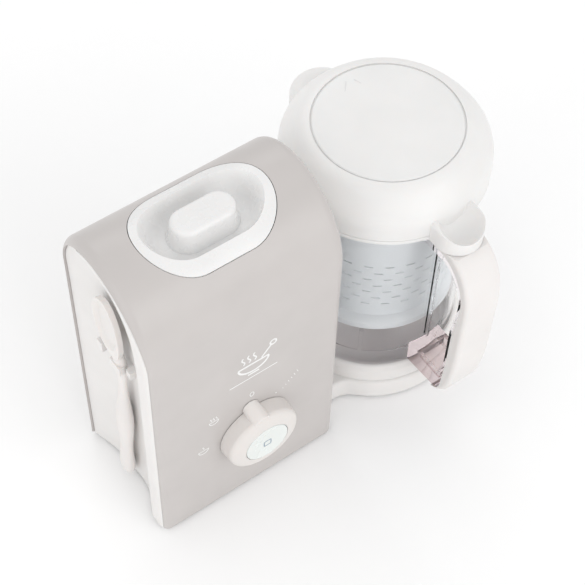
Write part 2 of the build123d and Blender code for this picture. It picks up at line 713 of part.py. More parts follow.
with BuildPart() as selector_dial:
    with BuildSketch(DIAL_SECTION):
        with BuildLine():
            Line((0, 0.4), (DIAL_RADIUS, 0.4))
            Line((DIAL_RADIUS, 0.4), (DIAL_RADIUS - 0.6, 10.2))
            Spline(
                (DIAL_RADIUS - 0.6, 10.2),
                (DIAL_RADIUS - 2.2, 12.8),
                (DIAL_RADIUS - 6.5, 14.5),
                (BUTTON_RADIUS + 0.4, 15.4),
                (0, DIAL_HEIGHT),
            )
            Line((0, DIAL_HEIGHT), (0, 0.4))
        make_face()
    revolve(axis=DIAL_AXIS)
    add(pointer.part)
    with BuildSketch(DIAL_PLANE.offset(7.5)):
        Circle(BUTTON_RADIUS + 0.35)
    extrude(amount=20, mode=Mode.SUBTRACT)
    with BuildSketch(DIAL_PLANE.offset(-1)):
        Circle(24)
        Circle(7, mode=Mode.SUBTRACT)
    extrude(amount=6, mode=Mode.SUBTRACT)
    with BuildSketch(DIAL_PLANE.offset(-1)):
        Circle(3.02)
    extrude(amount=1 + SHAFT_TIP, mode=Mode.SUBTRACT)
selector_dial.part.label = "selector_dial"
export_step(selector_dial.part, "parts/selector_dial.step")

with BuildPart() as centre_button:
    with BuildSketch(DIAL_PLANE.offset(12.4)):
        Circle(BUTTON_RADIUS)
    extrude(amount=DIAL_HEIGHT - 12.4 - 0.2)
    fillet(centre_button.faces().sort_by(Axis.Y)[0].edges(), 0.8)
    with BuildSketch(DIAL_PLANE.offset(9.6)):
        Circle(BUTTON_RADIUS - 0.6)
        Circle(BUTTON_RADIUS - 2.2, mode=Mode.SUBTRACT)
    extrude(amount=3)
centre_button.part.label = "centre_button"
export_step(centre_button.part, "parts/centre_button.step")

with BuildPart() as button_spring:
    with BuildLine() as coil:
        Helix(
            pitch=1.0,
            height=2.0,
            radius=8,
            center=(DIAL_X, BODY_FRONT - 7.9, DIAL_Z),
            direction=(0, -1, 0),
        )
    with BuildSketch(Plane(origin=coil.line @ 0, z_dir=coil.line % 0)):
        Circle(0.35)
    sweep(is_frenet=True)
button_spring.part.label = "button_spring"
export_step(button_spring.part, "parts/button_spring.step")

with BuildPart() as selector_shaft:
    with BuildSketch(DIAL_PLANE.offset(-22)):
        Circle(3)
    extrude(amount=22 + SHAFT_TIP - 0.1)
selector_shaft.part.label = "selector_shaft"
export_step(selector_shaft.part, "parts/selector_shaft.step")

with BuildPart() as selector_switch:
    with BuildSketch(DIAL_PLANE.offset(-24)):
        RectangleRounded(32, 32, 3)
    extrude(amount=18)
    with BuildSketch(DIAL_PLANE.offset(-6)):
        Circle(6)
    extrude(amount=3.2)
    with BuildSketch(DIAL_PLANE.offset(-27)):
        with GridLocations(6, 14, 4, 2):
            Rectangle(4, 0.8)
    extrude(amount=3.1)
    with BuildSketch(DIAL_PLANE.offset(-22.1)):
        Circle(3 + RUNNING_GAP)
    extrude(amount=30, mode=Mode.SUBTRACT)
selector_switch.part.label = "selector_switch"
export_step(selector_switch.part, "parts/selector_switch.step")

with BuildPart() as control_board:
    with Locations((BODY_LEFT + 33, 4, 56)):
        Box(1.6, 70, 76)
    with Locations((BODY_LEFT + 33 + 7.8, -12, 70)):
        Box(14, 18, 16)
    with Locations((BODY_LEFT + 33 + 6.8, 18, 66)):
        Box(12, 14, 22)
    with Locations((BODY_LEFT + 33 + 5.8, 4, 36)):
        Cylinder(6, 10, rotation=(0, 90, 0))
control_board.part.label = "control_board"
export_step(control_board.part, "parts/control_board.step")

with BuildPart() as cord_gland:
    with BuildSketch(Plane.XZ.offset(-BODY_BACK + 4)):
        with Locations((GLAND_X, GLAND_Z)):
            Circle(7.1)
    extrude(amount=-4.6)
    with BuildSketch(Plane.XZ.offset(-BODY_BACK - 0.3)):
        with Locations((GLAND_X, GLAND_Z)):
            Circle(9.5)
    extrude(amount=-2)
    with BuildSketch(Plane.XZ.offset(-BODY_BACK + 6)):
        with Locations((GLAND_X, GLAND_Z)):
            Circle(3.6)
    extrude(amount=-12, mode=Mode.SUBTRACT)
cord_gland.part.label = "cord_gland"
export_step(cord_gland.part, "parts/cord_gland.step")

# ---------------------------------------------------------------- jug bowl with its handle frame
BLADE_BUSH_RADIUS = 6.0
BRIDGE_TOP_Z = 59.0
# The line, in Y and Z, where the white grip meets the clear handle frame, from top to foot.
GRIP_LINE = [(-60.0, 190.0), (-77.0, 187.5), (-90.6, 170.0), (-90.4, 130.0), (-89.0, 88.0), (-87.2, 58.0)]
GRIP_FOOT = [(-87.2, 58.0), (-86.4, 51.0), (-83.6, 44.2), (-78.0, 40.4)]
# The grip's outer line from its top round the toe.
GRIP_OUTSIDE = [
    (-81.0, 194.8),
    (-92.5, 184.0),
    (-98.4, 168.0),
    (-99.6, 132.0),
    (-98.8, 92.0),
    (-96.0, 66.0),
    (-90.6, 48.6),
    (-78.0, 38.2),
]
# The line, in Y and Z, of the frame's inner strip beside the fingers.
FRAME_INNER = [(-62.0, 182.0), (-75.0, 180.5), (-87.0, 167.0), (-87.0, 130.0), (-85.6, 88.0), (-84.4, 59.0)]
HANDLE_LEFT = JUG_X - HANDLE_WIDTH / 2


def handle_sketch(x, gap):
    """Clear frame of the handle seen from the side at x: top arm, inner strip and lower bridge."""
    grip_line = [(y + gap, z - gap if z > 180 else z) for y, z in GRIP_LINE]
    foot = [(y + gap, z) for y, z in GRIP_FOOT]
    wall_y = JUG_Y - JUG_RADIUS + 4.0
    with BuildSketch(Plane.YZ.offset(x)) as frame_side:
        with BuildLine():
            Line((wall_y, 189.5), grip_line[0])
            Spline(*grip_line)
            Spline(*foot)
            Line(foot[-1], (wall_y, 38.0))
            Line((wall_y, 38.0), (wall_y, 189.5))
        make_face()
        with BuildLine():
            Line((wall_y, 182.0), FRAME_INNER[0])
            Spline(*FRAME_INNER)
            Line(FRAME_INNER[-1], (wall_y, BRIDGE_TOP_Z))
            Line((wall_y, BRIDGE_TOP_Z), (wall_y, 182.0))
        make_face(mode=Mode.SUBTRACT)
    return frame_side.sketch


with BuildPart() as handle_frame:
    extrude(handle_sketch(HANDLE_LEFT + 1.5, 0.45), amount=HANDLE_WIDTH - 3)
    # A pocket in the top of the lower bridge leaves a rim round it.
    with Locations((JUG_X, -71.0, BRIDGE_TOP_Z)):
        Box(HANDLE_WIDTH - 9, 22, 14, mode=Mode.SUBTRACT)
    with Locations((JUG_X, JUG_Y, 110)):
        Cylinder(JUG_RADIUS + 0.3, 200, mode=Mode.SUBTRACT)
handle_frame.part.label = "handle_frame"
export_step(handle_frame.part, "parts/handle_frame.step")

with BuildPart() as jug_bowl:
    with BuildSketch(JUG_SECTION):
        with BuildLine():
            Polyline(
                (0, JUG_FLOOR_Z - 3.2),
                (JUG_BORE - 2.5, JUG_FLOOR_Z - 3.2),
                (JUG_BORE - 2.5, 25),
                (JUG_BORE, 25),
                (JUG_BORE, JUG_WALL_FOOT_Z),
                (JUG_RADIUS, JUG_WALL_FOOT_Z),
                (JUG_RADIUS, JUG_RIM_Z - 3),
                (JUG_RADIUS + 4.5, JUG_RIM_Z - 2.5),
                (JUG_RADIUS + 4.5, JUG_RIM_Z),
                (0, JUG_RIM_Z),
                close=True,
            )
        make_face()
    revolve(axis=JUG_AXIS)
    with BuildSketch(Plane.XY.offset(JUG_FLOOR_Z)):
        with Locations((JUG_X, JUG_Y)):
            Circle(JUG_BORE)
    extrude(amount=200, mode=Mode.SUBTRACT)
    # A boss for the blade's bush, a thin rib under the handle and rests for the basket.
    with BuildSketch(Plane.XY.offset(41)):
        with Locations((JUG_X, JUG_Y)):
            Circle(BLADE_BUSH_RADIUS + 3)
    extrude(amount=15)
    with BuildSketch(Plane.XY.offset(JUG_FLOOR_Z - 1)):
        with Locations((JUG_X, JUG_Y)):
            with PolarLocations(JUG_BORE - 1.5, 4, start_angle=45):
                Rectangle(5, 3)
    extrude(amount=25.8)
    with Locations((JUG_X, JUG_Y - JUG_RADIUS - 1.2, 121)):
        Box(2.4, 4, 120)
    with Locations((JUG_X, JUG_Y, 50)):
        Cylinder(BLADE_BUSH_RADIUS, 40, mode=Mode.SUBTRACT)
jug_bowl.part.label = "jug_bowl"
export_step(jug_bowl.part, "parts/jug_bowl.step")

with BuildPart() as handle_grip:
    with BuildSketch(Plane.YZ.offset(HANDLE_LEFT)):
        with BuildLine():
            Line((-60.0, 194.8), GRIP_OUTSIDE[0])
            Spline(*GRIP_OUTSIDE)
            Line(GRIP_OUTSIDE[-1], GRIP_FOOT[-1])
            Spline(*GRIP_FOOT)
            Spline(*GRIP_LINE)
            Line(GRIP_LINE[0], (-60.0, 194.8))
        make_face()
    extrude(amount=HANDLE_WIDTH)
    grip_sides = handle_grip.faces().sort_by(Axis.X)
    side_edges = grip_sides[0].edges() + grip_sides[-1].edges()
    fillet(side_edges.filter_by_position(Axis.Y, HANDLE_FRONT, -92.5), 3.5)
handle_grip.part.label = "handle_grip"
export_step(handle_grip.part, "parts/handle_grip.step")

with BuildPart() as jug_collar:
    with BuildSketch(JUG_SECTION):
        with BuildLine():
            Polyline(
                (JUG_BORE + 0.3, PLATFORM_TOP + 0.2),
                (68.2, PLATFORM_TOP + 0.2),
                (67.6, 31),
                (JUG_RADIUS + 1.6, JUG_WALL_FOOT_Z - 0.8),
                (JUG_RADIUS + 0.2, JUG_WALL_FOOT_Z - 0.1),
                (JUG_BORE + 0.3, JUG_WALL_FOOT_Z - 0.1),
                close=True,
            )
        make_face()
    revolve(axis=JUG_AXIS)
    fillet(jug_collar.edges().filter_by_position(Axis.Z, 30, 35.5), 2)
jug_collar.part.label = "jug_collar"
export_step(jug_collar.part, "parts/jug_collar.step")

# ---------------------------------------------------------------- blade unit
with BuildPart() as blade_bush:
    with BuildSketch(Plane.XY.offset(41.2)):
        with Locations((JUG_X, JUG_Y)):
            Circle(BLADE_BUSH_RADIUS - 0.02)
            Circle(SPINDLE_RADIUS + RUNNING_GAP, mode=Mode.SUBTRACT)
    extrude(amount=15)
blade_bush.part.label = "blade_bush"
export_step(blade_bush.part, "parts/blade_bush.step")

with BuildPart() as blade_shaft:
    with BuildSketch(Plane.XY.offset(36)):
        with Locations((JUG_X, JUG_Y)):
            Circle(SPINDLE_RADIUS)
    extrude(amount=32)
blade_shaft.part.label = "blade_shaft"
export_step(blade_shaft.part, "parts/blade_shaft.step")

COUPLING_RADIUS = 15.0
with BuildPart() as jug_coupling:
    with BuildSketch(Plane.XY.offset(DOG_Z + 1.4)):
        with Locations((JUG_X, JUG_Y)):
            Circle(COUPLING_RADIUS)
            Circle(11.6, mode=Mode.SUBTRACT)
            with PolarLocations(10.4, DOG_TEETH, start_angle=180 / DOG_TEETH):
                Rectangle(3.6, 3)
    extrude(amount=10)
    with BuildSketch(Plane.XY.offset(DOG_Z + 11.4)):
        with Locations((JUG_X, JUG_Y)):
            Circle(COUPLING_RADIUS)
    extrude(amount=5)
    with Locations((JUG_X, JUG_Y, 42)):
        Cylinder(SPINDLE_RADIUS + 0.01, 12, mode=Mode.SUBTRACT)
jug_coupling.part.label = "jug_coupling"
export_step(jug_coupling.part, "parts/jug_coupling.step")

BLADE_SPAN = 46.0
BLADE_Z = 59.8
with BuildPart() as blade_hub:
    with BuildSketch(Plane.XY.offset(56.6)):
        with Locations((JUG_X, JUG_Y)):
            Circle(9.5)
    extrude(amount=12)
    fillet(blade_hub.faces().sort_by(Axis.Z)[-1].edges(), 3)
    with Locations((JUG_X, JUG_Y, 56)):
        Cylinder(SPINDLE_RADIUS + 0.01, 24, mode=Mode.SUBTRACT)
    with Locations((JUG_X, JUG_Y, BLADE_Z + 0.6)):
        Box(30, 14.4, 1.3, mode=Mode.SUBTRACT)
blade_hub.part.label = "blade_hub"
export_step(blade_hub.part, "parts/blade_hub.step")

with BuildPart() as blades:
    with BuildSketch(Plane((JUG_X, JUG_Y, BLADE_Z))):
        with BuildLine():
            Polyline(
                (-BLADE_SPAN, -2),
                (-BLADE_SPAN, 3),
                (-14, 7),
                (14, 7),
                (BLADE_SPAN, 2),
                (BLADE_SPAN, -3),
                (14, -7),
                (-14, -7),
                close=True,
            )
        make_face()
        Circle(SPINDLE_RADIUS + 0.01, mode=Mode.SUBTRACT)
    extrude(amount=1.2)
blades.part.label = "blades"
export_step(blades.part, "parts/blades.step")

# ---------------------------------------------------------------- steam basket
BASKET_RADIUS = 54.0
BASKET_FLOOR_Z = 83.0
BASKET_RIM_Z = 185.0
BASKET_FOOT_Z = 76.6
BASKET_WALL = 1.8
SLIT_ROWS = 7
SLITS_PER_ROW = 24
with BuildPart() as steam_basket:
    with BuildSketch(JUG_SECTION):
        with BuildLine():
            Polyline(
                (BASKET_RADIUS - BASKET_WALL, BASKET_FLOOR_Z + 4),
                (BASKET_RADIUS, BASKET_FLOOR_Z + 4),
                (BASKET_RADIUS + 3.0, BASKET_RIM_Z - 2),
                (BASKET_RADIUS + 5.5, BASKET_RIM_Z - 2),
                (BASKET_RADIUS + 5.5, BASKET_RIM_Z),
                (BASKET_RADIUS + 1.2, BASKET_RIM_Z),
                close=True,
            )
        make_face()
    revolve(axis=JUG_AXIS)
    # Rows of short level slits round the wall, every second row staggered.
    for row in range(SLIT_ROWS):
        stagger = (row % 2) * 180 / SLITS_PER_ROW
        with Locations((JUG_X, JUG_Y, 102 + 7.5 * row)):
            with PolarLocations(BASKET_RADIUS, SLITS_PER_ROW, start_angle=stagger):
                Box(14, 6, 1.2, mode=Mode.SUBTRACT)
steam_basket.part.label = "steam_basket"
export_step(steam_basket.part, "parts/steam_basket.step")

with BuildPart() as basket_floor:
    with BuildSketch(JUG_SECTION):
        with BuildLine():
            Polyline(
                (0, BASKET_FLOOR_Z),
                (BASKET_RADIUS + 1.5, BASKET_FLOOR_Z),
                (BASKET_RADIUS + 3.0, BASKET_FLOOR_Z - 3),
                (BASKET_RADIUS + 3.0, BASKET_FOOT_Z),
                (BASKET_RADIUS + 5.0, BASKET_FOOT_Z),
                (BASKET_RADIUS + 5.0, BASKET_FLOOR_Z - 1),
                (BASKET_RADIUS, BASKET_FLOOR_Z + 3.9),
                (BASKET_RADIUS - BASKET_WALL, BASKET_FLOOR_Z + 3.9),
                (BASKET_RADIUS - BASKET_WALL - 0.6, BASKET_FLOOR_Z + 2),
                (0, BASKET_FLOOR_Z + 2),
                close=True,
            )
        make_face()
    revolve(axis=JUG_AXIS)
    with BuildSketch(Plane.XY.offset(BASKET_FLOOR_Z - 1)):
        with Locations((JUG_X, JUG_Y)):
            for ring_radius, hole_count in ((14, 6), (28, 12), (42, 18)):
                with PolarLocations(ring_radius, hole_count):
                    Circle(2)
    extrude(amount=5, mode=Mode.SUBTRACT)
basket_floor.part.label = "basket_floor"
export_step(basket_floor.part, "parts/basket_floor.step")

# ---------------------------------------------------------------- lid
SPOUT_ANGLE = 96.0
SPOUT_TIP = OVERALL_DEPTH / 2 - JUG_Y
SPOUT_RADIUS = 23.0
SADDLE_WIDTH = 35.0
SADDLE_FRONT = -81.5


def lid_dome(inset, foot_z):
    """Half section of the lid's rounded form, drawn inwards by inset, from foot_z up."""
    with BuildSketch(JUG_SECTION) as half:
        with BuildLine():
            Line((0, foot_z), (LID_RADIUS - inset, foot_z))
            Line((LID_RADIUS - inset, foot_z), (LID_RADIUS - inset, LID_SHOULDER_Z))
            Spline(
                (LID_RADIUS - inset, LID_SHOULDER_Z),
                (LID_RADIUS - 7.5 - 0.8 * inset, LID_SHOULDER_Z + 16.5 - 0.6 * inset),
                (LID_DISC_RADIUS, LID_TOP_Z - inset),
                tangents=[(0, 1), (-1, 0.12)],
            )
            Line((LID_DISC_RADIUS, LID_TOP_Z - inset), (0, LID_TOP_Z - inset))
            Line((0, LID_TOP_Z - inset), (0, foot_z))
        make_face()
    return half.sketch


with BuildPart() as lid_inside:
    revolve(lid_dome(WALL, LID_EDGE_Z - 1), axis=JUG_AXIS)

# The pouring spout opposite the handle, and the channel under it.
spout_x = JUG_X + (SPOUT_TIP - SPOUT_RADIUS) * math.cos(math.radians(SPOUT_ANGLE))
spout_y = OVERALL_DEPTH / 2 - SPOUT_RADIUS
with BuildPart() as spout:
    with BuildSketch(Plane.XY.offset(LID_EDGE_Z)):
        with Locations((spout_x, spout_y)):
            Circle(SPOUT_RADIUS)
    extrude(amount=20)
    fillet(spout.faces().sort_by(Axis.Z)[-1].edges(), 9)

with BuildPart() as spout_channel:
    with BuildSketch(Plane.XY.offset(LID_EDGE_Z - 1)):
        with Locations((spout_x, spout_y)):
            Circle(SPOUT_RADIUS - WALL)
    extrude(amount=16)

# The thumb rest over the handle, hollowed between two ears.
with BuildPart() as thumb_rest:
    with BuildSketch(Plane.XY.offset(LID_EDGE_Z)):
        with Locations((JUG_X, SADDLE_FRONT + SADDLE_WIDTH / 2)):
            Circle(SADDLE_WIDTH / 2)
        with Locations((JUG_X, SADDLE_FRONT + SADDLE_WIDTH / 2 + 10)):
            Rectangle(SADDLE_WIDTH, 20)
    extrude(amount=17)
    fillet(thumb_rest.faces().sort_by(Axis.Z)[-1].edges(), 3)
    with Locations((JUG_X, SADDLE_FRONT + 13, LID_EDGE_Z + 20)):
        Sphere(16.5, mode=Mode.SUBTRACT)

with BuildPart() as jug_lid:
    revolve(lid_dome(0, LID_EDGE_Z), axis=JUG_AXIS)
    add(spout.part)
    add(thumb_rest.part)
    add(lid_inside.part, mode=Mode.SUBTRACT)
    # A flat web carries the inner ring that plugs the bowl and holds the seal.
    with BuildSketch(Plane.XY.offset(LID_EDGE_Z)):
        with Locations((JUG_X, JUG_Y)):
            Circle(LID_RADIUS - 1)
            Circle(JUG_BORE - 3.5, mode=Mode.SUBTRACT)
    extrude(amount=2)
    with BuildSketch(Plane.XY.offset(187)):
        with Locations((JUG_X, JUG_Y)):
            Circle(JUG_BORE - 1)
            Circle(JUG_BORE - 3.5, mode=Mode.SUBTRACT)
    extrude(amount=LID_EDGE_Z + 1 - 187)
    add(spout_channel.part, mode=Mode.SUBTRACT)
    # A recess for the top disc, a fine line round the foot and the steam inlet.
    with BuildSketch(Plane.XY.offset(LID_TOP_Z - 1.2)):
        with Locations((JUG_X, JUG_Y)):
            Circle(LID_DISC_RADIUS)
    extrude(amount=10, mode=Mode.SUBTRACT)
    with BuildSketch(Plane.XY.offset(LID_GROOVE_Z - 0.25)):
        with Locations((JUG_X, JUG_Y)):
            Circle(LID_RADIUS + 1)
            Circle(LID_RADIUS - 0.5, mode=Mode.SUBTRACT)
    extrude(amount=0.5, mode=Mode.SUBTRACT)
    with Locations((JUG_X - LID_RADIUS, JUG_Y, STEAM_Z)):
        Cylinder(3.2, 34, rotation=(0, 90, 0), mode=Mode.SUBTRACT)
jug_lid.part.label = "jug_lid"
export_step(jug_lid.part, "parts/jug_lid.step")

DISC_EDGE = LID_DISC_RADIUS - 1.1
with BuildPart() as lid_disc:
    with BuildSketch(JUG_SECTION):
        with BuildLine():
            Line((0, LID_TOP_Z - 1.15), (DISC_EDGE, LID_TOP_Z - 1.15))
            Line((DISC_EDGE, LID_TOP_Z - 1.15), (DISC_EDGE, LID_TOP_Z - 0.5))
            Line((DISC_EDGE, LID_TOP_Z - 0.5), (DISC_EDGE - 0.8, LID_TOP_Z + 0.1))
            Spline((DISC_EDGE - 0.8, LID_TOP_Z + 0.1), (26, LID_TOP_Z + 1.0), (0, LID_TOP_Z + 1.3))
            Line((0, LID_TOP_Z + 1.3), (0, LID_TOP_Z - 1.15))
        make_face()
    revolve(axis=JUG_AXIS)
lid_disc.part.label = "lid_disc"
export_step(lid_disc.part, "parts/lid_disc.step")

with BuildPart() as lid_seal:
    with BuildSketch(Plane.XY.offset(189)):
        with Locations((JUG_X, JUG_Y)):
            Circle(JUG_BORE - 0.2)
            Circle(JUG_BORE - 0.95, mode=Mode.SUBTRACT)
    extrude(amount=3)
lid_seal.part.label = "lid_seal"
export_step(lid_seal.part, "parts/lid_seal.step")

# ---------------------------------------------------------------- spatula on its hooks
SPATULA_X = BODY_LEFT + 1.5
STEM_X = BODY_LEFT + 5.6
# Outline of the head in Y and Z, from the neck's back edge round to its front edge.
HEAD_OUTLINE = [
    (3.0, 172),
    (9.0, 176),
    (15.5, 184),
    (17.6, 196),
    (17.8, 206),
    (14.0, 217),
    (8.0, 224),
    (0.0, 226),
    (-5.5, 221),
    (-10.0, 211),
    (-12.0, 199),
    (-12.0, 188),
    (-10.0, 178),
    (-6.5, 172),
]
HEAD_THICKNESS = 3.8
# Height, centre in Y and half widths in X and Y of the rounded stem, from the neck to the foot.
STEM_LEVELS = [
    (174, -2.4, 2.8, 4.6),
    (158, -5.0, 3.7, 5.4),
    (110, -2.4, 4.1, 6.6),
    (66, 0.6, 4.3, 7.4),
    (30, 3.2, 4.3, 7.4),
    (14, 4.4, 3.9, 6.4),
    (9, 4.8, 2.2, 3.6),
]
with BuildPart() as spatula_stem:
    for height, stem_y, half_x, half_y in STEM_LEVELS:
        with BuildSketch(Plane.XY.offset(height)):
            with Locations((STEM_X, stem_y)):
                Ellipse(half_x, half_y)
    loft()

with BuildPart() as spatula:
    with BuildSketch(Plane.YZ.offset(SPATULA_X)):
        with BuildLine():
            Spline(*HEAD_OUTLINE)
            Line(HEAD_OUTLINE[-1], HEAD_OUTLINE[0])
        make_face()
    extrude(amount=HEAD_THICKNESS)
    # The spoon's shallow face looks outwards.
    with BuildSketch(Plane.YZ.offset(SPATULA_X - 0.01)):
        with Locations((3.0, 199.5)):
            Ellipse(12.9, 23.5)
    with BuildSketch(Plane.YZ.offset(SPATULA_X + HEAD_THICKNESS - 1.4)):
        with Locations((3.0, 199)):
            Ellipse(10.0, 19.0)
    loft(mode=Mode.SUBTRACT)
    add(spatula_stem.part)
    # A raised band across the neck.
    with Locations((SPATULA_X + 1.6, -5.0, 163)):
        Box(4.2, 12, 7)
spatula.part.label = "spatula"
export_step(spatula.part, "parts/spatula.step")
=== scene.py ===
import json
import math

import bmesh
import bpy
from mathutils import Matrix, Vector


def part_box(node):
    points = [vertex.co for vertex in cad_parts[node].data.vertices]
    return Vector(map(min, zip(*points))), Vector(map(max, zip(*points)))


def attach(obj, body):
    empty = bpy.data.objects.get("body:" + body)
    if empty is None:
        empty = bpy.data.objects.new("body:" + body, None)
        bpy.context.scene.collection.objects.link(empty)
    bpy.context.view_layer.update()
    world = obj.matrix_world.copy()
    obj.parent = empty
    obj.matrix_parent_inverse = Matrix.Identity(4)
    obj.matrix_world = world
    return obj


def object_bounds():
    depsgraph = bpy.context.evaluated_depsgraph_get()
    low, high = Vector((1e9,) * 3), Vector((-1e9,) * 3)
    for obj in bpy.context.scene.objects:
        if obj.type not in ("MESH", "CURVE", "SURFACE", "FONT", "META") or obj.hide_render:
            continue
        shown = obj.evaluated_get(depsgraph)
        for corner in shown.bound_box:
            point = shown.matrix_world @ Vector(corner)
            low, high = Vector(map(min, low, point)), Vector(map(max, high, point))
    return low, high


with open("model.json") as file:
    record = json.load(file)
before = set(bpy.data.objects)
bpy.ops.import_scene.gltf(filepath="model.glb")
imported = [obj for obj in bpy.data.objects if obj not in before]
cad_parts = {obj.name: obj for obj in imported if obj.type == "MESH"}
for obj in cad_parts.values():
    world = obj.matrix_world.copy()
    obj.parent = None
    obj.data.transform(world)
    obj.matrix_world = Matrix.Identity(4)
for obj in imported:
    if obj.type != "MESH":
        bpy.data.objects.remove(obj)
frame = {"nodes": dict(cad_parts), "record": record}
nodes = frame["nodes"]
cad_low, cad_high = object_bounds()

scene = bpy.context.scene
scene.view_settings.view_transform = "Standard"

# ---------------------------------------------------------------- camera
CAMERA_PLACE = Vector((-0.38357, -0.49735, 1.01456))
VIEW_DIRECTION = Vector((0.34681, 0.45688, -0.81914)).normalized()
CAMERA_ROLL = math.radians(2.08)
SENSOR = 36.0
LENS = 96.49


def make_camera():
    flat_right = VIEW_DIRECTION.cross(Vector((0, 0, 1))).normalized()
    flat_up = flat_right.cross(VIEW_DIRECTION)
    right = flat_right * math.cos(CAMERA_ROLL) + flat_up * math.sin(CAMERA_ROLL)
    up = flat_up * math.cos(CAMERA_ROLL) - flat_right * math.sin(CAMERA_ROLL)
    turn = Matrix((right, up, -VIEW_DIRECTION)).transposed().to_4x4()
    data = bpy.data.cameras.new("camera")
    data.sensor_width = SENSOR
    data.lens = LENS
    data.clip_start = 0.02
    data.clip_end = 20
    camera = bpy.data.objects.new("camera", data)
    camera.matrix_world = Matrix.Translation(CAMERA_PLACE) @ turn
    scene.collection.objects.link(camera)
    scene.camera = camera


make_camera()


# ---------------------------------------------------------------- materials
class Tree:
    """A material's node tree with a Principled shader, and short ways to add nodes to it."""

    def __init__(self, name):
        self.material = bpy.data.materials.new(name)
        self.material.use_nodes = True
        self.nodes = self.material.node_tree.nodes
        self.links = self.material.node_tree.links
        self.shader = self.nodes["Principled BSDF"]
        self.output = self.nodes["Material Output"]
        self.coords = self.nodes.new("ShaderNodeTexCoord").outputs["Object"]

    def set(self, **values):
        for key, value in values.items():
            self.shader.inputs[key.replace("_", " ")].default_value = value

    def noise(self, scale, detail=2.0, rough=0.5, stretch=None):
        node = self.nodes.new("ShaderNodeTexNoise")
        node.inputs["Scale"].default_value = scale
        node.inputs["Detail"].default_value = detail
        node.inputs["Roughness"].default_value = rough
        source = self.coords
        if stretch:
            mapping = self.nodes.new("ShaderNodeMapping")
            mapping.inputs["Scale"].default_value = stretch
            self.links.new(source, mapping.inputs["Vector"])
            source = mapping.outputs["Vector"]
        self.links.new(source, node.inputs["Vector"])
        return node.outputs["Fac"]

    def height(self):
        node = self.nodes.new("ShaderNodeSeparateXYZ")
        self.links.new(self.coords, node.inputs["Vector"])
        return node.outputs["Z"]

    def spread(self, source, low, high, start=0.3, end=0.7):
        node = self.nodes.new("ShaderNodeMapRange")
        for key, value in (("From Min", start), ("From Max", end), ("To Min", low), ("To Max", high)):
            node.inputs[key].default_value = value
        self.links.new(source, node.inputs["Value"])
        return node.outputs["Result"]

    def mix(self, factor, first, second):
        node = self.nodes.new("ShaderNodeMix")
        node.data_type = "RGBA"
        for socket, value in ((node.inputs[0], factor), (node.inputs[6], first), (node.inputs[7], second)):
            if isinstance(value, bpy.types.NodeSocket):
                self.links.new(value, socket)
            else:
                socket.default_value = value
        return node.outputs[2]

    def bump(self, layers):
        """Adds height layers, each (source, depth in metres), one after the other."""
        previous = None
        for source, depth in layers:
            node = self.nodes.new("ShaderNodeBump")
            node.inputs["Strength"].default_value = 1.0
            node.inputs["Distance"].default_value = depth
            self.links.new(source, node.inputs["Height"])
            if previous:
                self.links.new(previous, node.inputs["Normal"])
            previous = node.outputs["Normal"]
        self.links.new(previous, self.shader.inputs["Normal"])

    def link(self, source, key):
        self.links.new(source, self.shader.inputs[key])


def shade(colour, factor):
    return tuple(min(1.0, c * factor) for c in colour[:3]) + (1.0,)


METAL_STRETCH = (1400, 60, 60)
TURNED_STRETCH = (40, 40, 1200)
# Clear plastic: the light it lets through, its bend of light, and the heights where its painted shade
# towards the foot fades.
CLEAR_SHADOW = (0.985, 0.985, 0.985, 1)
CLEAR_IOR = 1.12
FOOT_SHADE_HEIGHTS = (0.045, 0.085)
SKIN_DEPTH = (0.004, 0.003, 0.0025)


def moulded_plastic(name, colour, rough=0.42, grain=1.2e-5, waves=2.5e-5, mottle=0.02, subsurface=0.0):
    """Satin moulded plastic: spark-eroded grain, slow waves, faint colour drift and rubbed patches."""
    t = Tree(name)
    drift = t.spread(t.noise(28, 3), 0.0, 1.0)
    t.link(t.mix(drift, shade(colour, 1 - mottle), shade(colour, 1 + mottle)), "Base Color")
    t.link(t.spread(t.noise(60, 4, 0.6), rough - 0.05, rough + 0.06), "Roughness")
    t.bump([(t.noise(22, 1), waves), (t.noise(2600, 2, 0.6), grain)])
    t.set(IOR=1.49)
    if subsurface:
        t.set(Subsurface_Weight=subsurface, Subsurface_Radius=SKIN_DEPTH, Subsurface_Scale=1.0)
    return t.material


def brushed_metal(name, colour, rough=0.3, turned=False):
    """Drawn or ground steel: fine lines, patches of duller polish."""
    t = Tree(name)
    stretch = TURNED_STRETCH if turned else METAL_STRETCH
    lines = t.noise(1, 3, 0.6, stretch)
    t.link(t.mix(t.spread(lines, 0, 1), shade(colour, 0.93), shade(colour, 1.05)), "Base Color")
    t.link(t.spread(t.noise(90, 4, 0.6), rough - 0.06, rough + 0.10), "Roughness")
    t.bump([(lines, 6e-6)])
    t.set(Metallic=1.0)
    return t.material


def clear_plastic(name, colour, foot_shade_colour, rough=0.03, weight=1.0, shadow=CLEAR_SHADOW):
    """Clear or frosted plastic in its own tint, with painted shade darkening it towards the jug's foot.
    Lamps shine through it.
    """
    t = Tree(name)
    t.set(Transmission_Weight=weight, IOR=CLEAR_IOR)
    # Painted shade: the base colour darkens towards the jug's foot, standing in for the dim bottom seen
    # through the clear layers.
    t.link(t.mix(t.spread(t.height(), 0.0, 1.0, *FOOT_SHADE_HEIGHTS), foot_shade_colour, colour), "Base Color")
    t.link(t.spread(t.noise(45, 4, 0.6), rough, rough + 0.035), "Roughness")
    t.bump([(t.noise(14, 1), 3e-5), (t.noise(500, 2), 1.0e-6)])
    path = t.nodes.new("ShaderNodeLightPath")
    clear = t.nodes.new("ShaderNodeBsdfTransparent")
    clear.inputs["Color"].default_value = shadow
    mixer = t.nodes.new("ShaderNodeMixShader")
    t.links.new(path.outputs["Is Shadow Ray"], mixer.inputs["Fac"])
    t.links.new(t.shader.outputs["BSDF"], mixer.inputs[1])
    t.links.new(clear.outputs["BSDF"], mixer.inputs[2])
    t.links.new(mixer.outputs["Shader"], t.output.inputs["Surface"])
    return t.material


